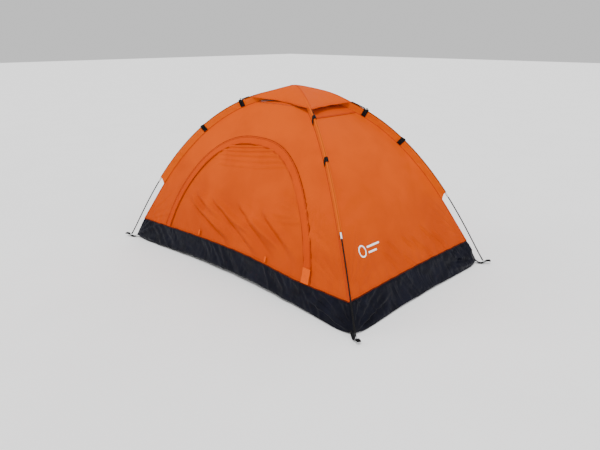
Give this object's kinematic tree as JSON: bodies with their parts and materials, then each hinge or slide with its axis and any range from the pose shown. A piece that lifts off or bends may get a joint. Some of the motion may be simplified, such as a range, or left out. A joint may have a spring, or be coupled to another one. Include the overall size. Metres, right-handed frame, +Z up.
{
  "type": "tent on poles",
  "caption": "Small dome tent on two crossed shock-corded poles, with a tub floor, an arched zip door and a lift-off vent cap.",
  "frame": {"origin": "on the ground under the crossing of the two poles, at the middle of the floor", "axes": "+X along the longer side of the floor, +Y across it with the door wall facing -Y, +Z up"},
  "size_m": [2.1256, 1.3514, 1.088],
  "materials": {
    "canopy_cloth": "thin woven polyester, slight sheen",
    "sleeve_cloth": "thin woven polyester, doubled",
    "tub_sheet": "coated woven sheet, soft gloss, creased",
    "mesh": "fine insect mesh",
    "zip_tape": "coil zip on woven tape",
    "webbing": "ribbed webbing, matte",
    "elastic": "braided elastic, matte",
    "shock_cord": "braided elastic",
    "fibreglass": "dark drawn fibreglass, satin",
    "ferrule_steel": "plated steel tube",
    "slider_metal": "die-cast, painted"
  },
  "bodies": {
    "canopy": {"pole_a_end_section_1": "fibreglass", "pole_a_end_section_2": "fibreglass", "pole_b_end_section_1": "fibreglass", "pole_b_end_section_2": "fibreglass", "pole_a_middle_section_1": "fibreglass", "pole_a_middle_section_2": "fibreglass", "pole_a_middle_section_3": "fibreglass", "pole_a_middle_section_4": "fibreglass", "pole_a_middle_section_5": "fibreglass", "pole_b_middle_section_1": "fibreglass", "pole_b_middle_section_2": "fibreglass", "pole_b_middle_section_3": "fibreglass", "pole_b_middle_section_4": "fibreglass", "pole_b_middle_section_5": "fibreglass", "pole_a_ferrule_1": "ferrule_steel", "pole_a_ferrule_2": "ferrule_steel", "pole_a_ferrule_3": "ferrule_steel", "pole_a_ferrule_4": "ferrule_steel", "pole_a_ferrule_5": "ferrule_steel", "pole_a_ferrule_6": "ferrule_steel", "pole_b_ferrule_1": "ferrule_steel", "pole_b_ferrule_2": "ferrule_steel", "pole_b_ferrule_3": "ferrule_steel", "pole_b_ferrule_4": "ferrule_steel", "pole_b_ferrule_5": "ferrule_steel", "pole_b_ferrule_6": "ferrule_steel", "pole_a_shock_cord": "shock_cord", "pole_b_shock_cord": "shock_cord", "floor_tub": "tub_sheet", "wall_front": "canopy_cloth", "wall_back": "canopy_cloth", "wall_right": "canopy_cloth", "wall_left": "canopy_cloth", "door_zip_chain": "zip_tape", "vent_mesh": "mesh", "corner_tab_front_right": "webbing", "grommet_front_right": "ferrule_steel", "pole_sleeve_front_right": "sleeve_cloth", "corner_tab_back_left": "webbing", "grommet_back_left": "ferrule_steel", "pole_sleeve_back_left": "sleeve_cloth", "corner_tab_back_right": "webbing", "grommet_back_right": "ferrule_steel", "pole_sleeve_back_right": "sleeve_cloth", "corner_tab_front_left": "webbing", "grommet_front_left": "ferrule_steel", "pole_sleeve_front_left": "sleeve_cloth"},
    "door": {"door_flap": "canopy_cloth", "door_zip_cover": "canopy_cloth", "door_tie_right": "sleeve_cloth", "door_tie_left": "sleeve_cloth"},
    "cap": {"vent_cap": "canopy_cloth", "cap_elastic_front_right": "elastic", "cap_elastic_back_left": "elastic", "cap_elastic_back_right": "elastic", "cap_elastic_front_left": "elastic"},
    "zip_slider": {"zip_slider": "slider_metal"},
    "zip_pull": {"zip_pull": "webbing"}
  },
  "joints": [
    {"name": "door_swing", "type": "hinge", "parent": "canopy", "child": "door", "pos_m": [0, -0.58373, 0.15139], "axis": [1, 0, 0], "range_deg": [0, 120]},
    {"name": "cap_lift", "type": "slide", "parent": "canopy", "child": "cap", "axis": [0, 0, 1], "range_m": [0, 0.25]},
    {"name": "zip_travel", "type": "slide", "parent": "canopy", "child": "zip_slider", "axis": [-0.283, 0.3136, 0.9064], "range_m": [0, 0.06]},
    {"name": "pull_swing", "type": "hinge", "parent": "zip_slider", "child": "zip_pull", "pos_m": [0.62299, -0.54828, 0.22134], "axis": [1, 0, 0], "range_deg": [-12, 90]}
  ]
}
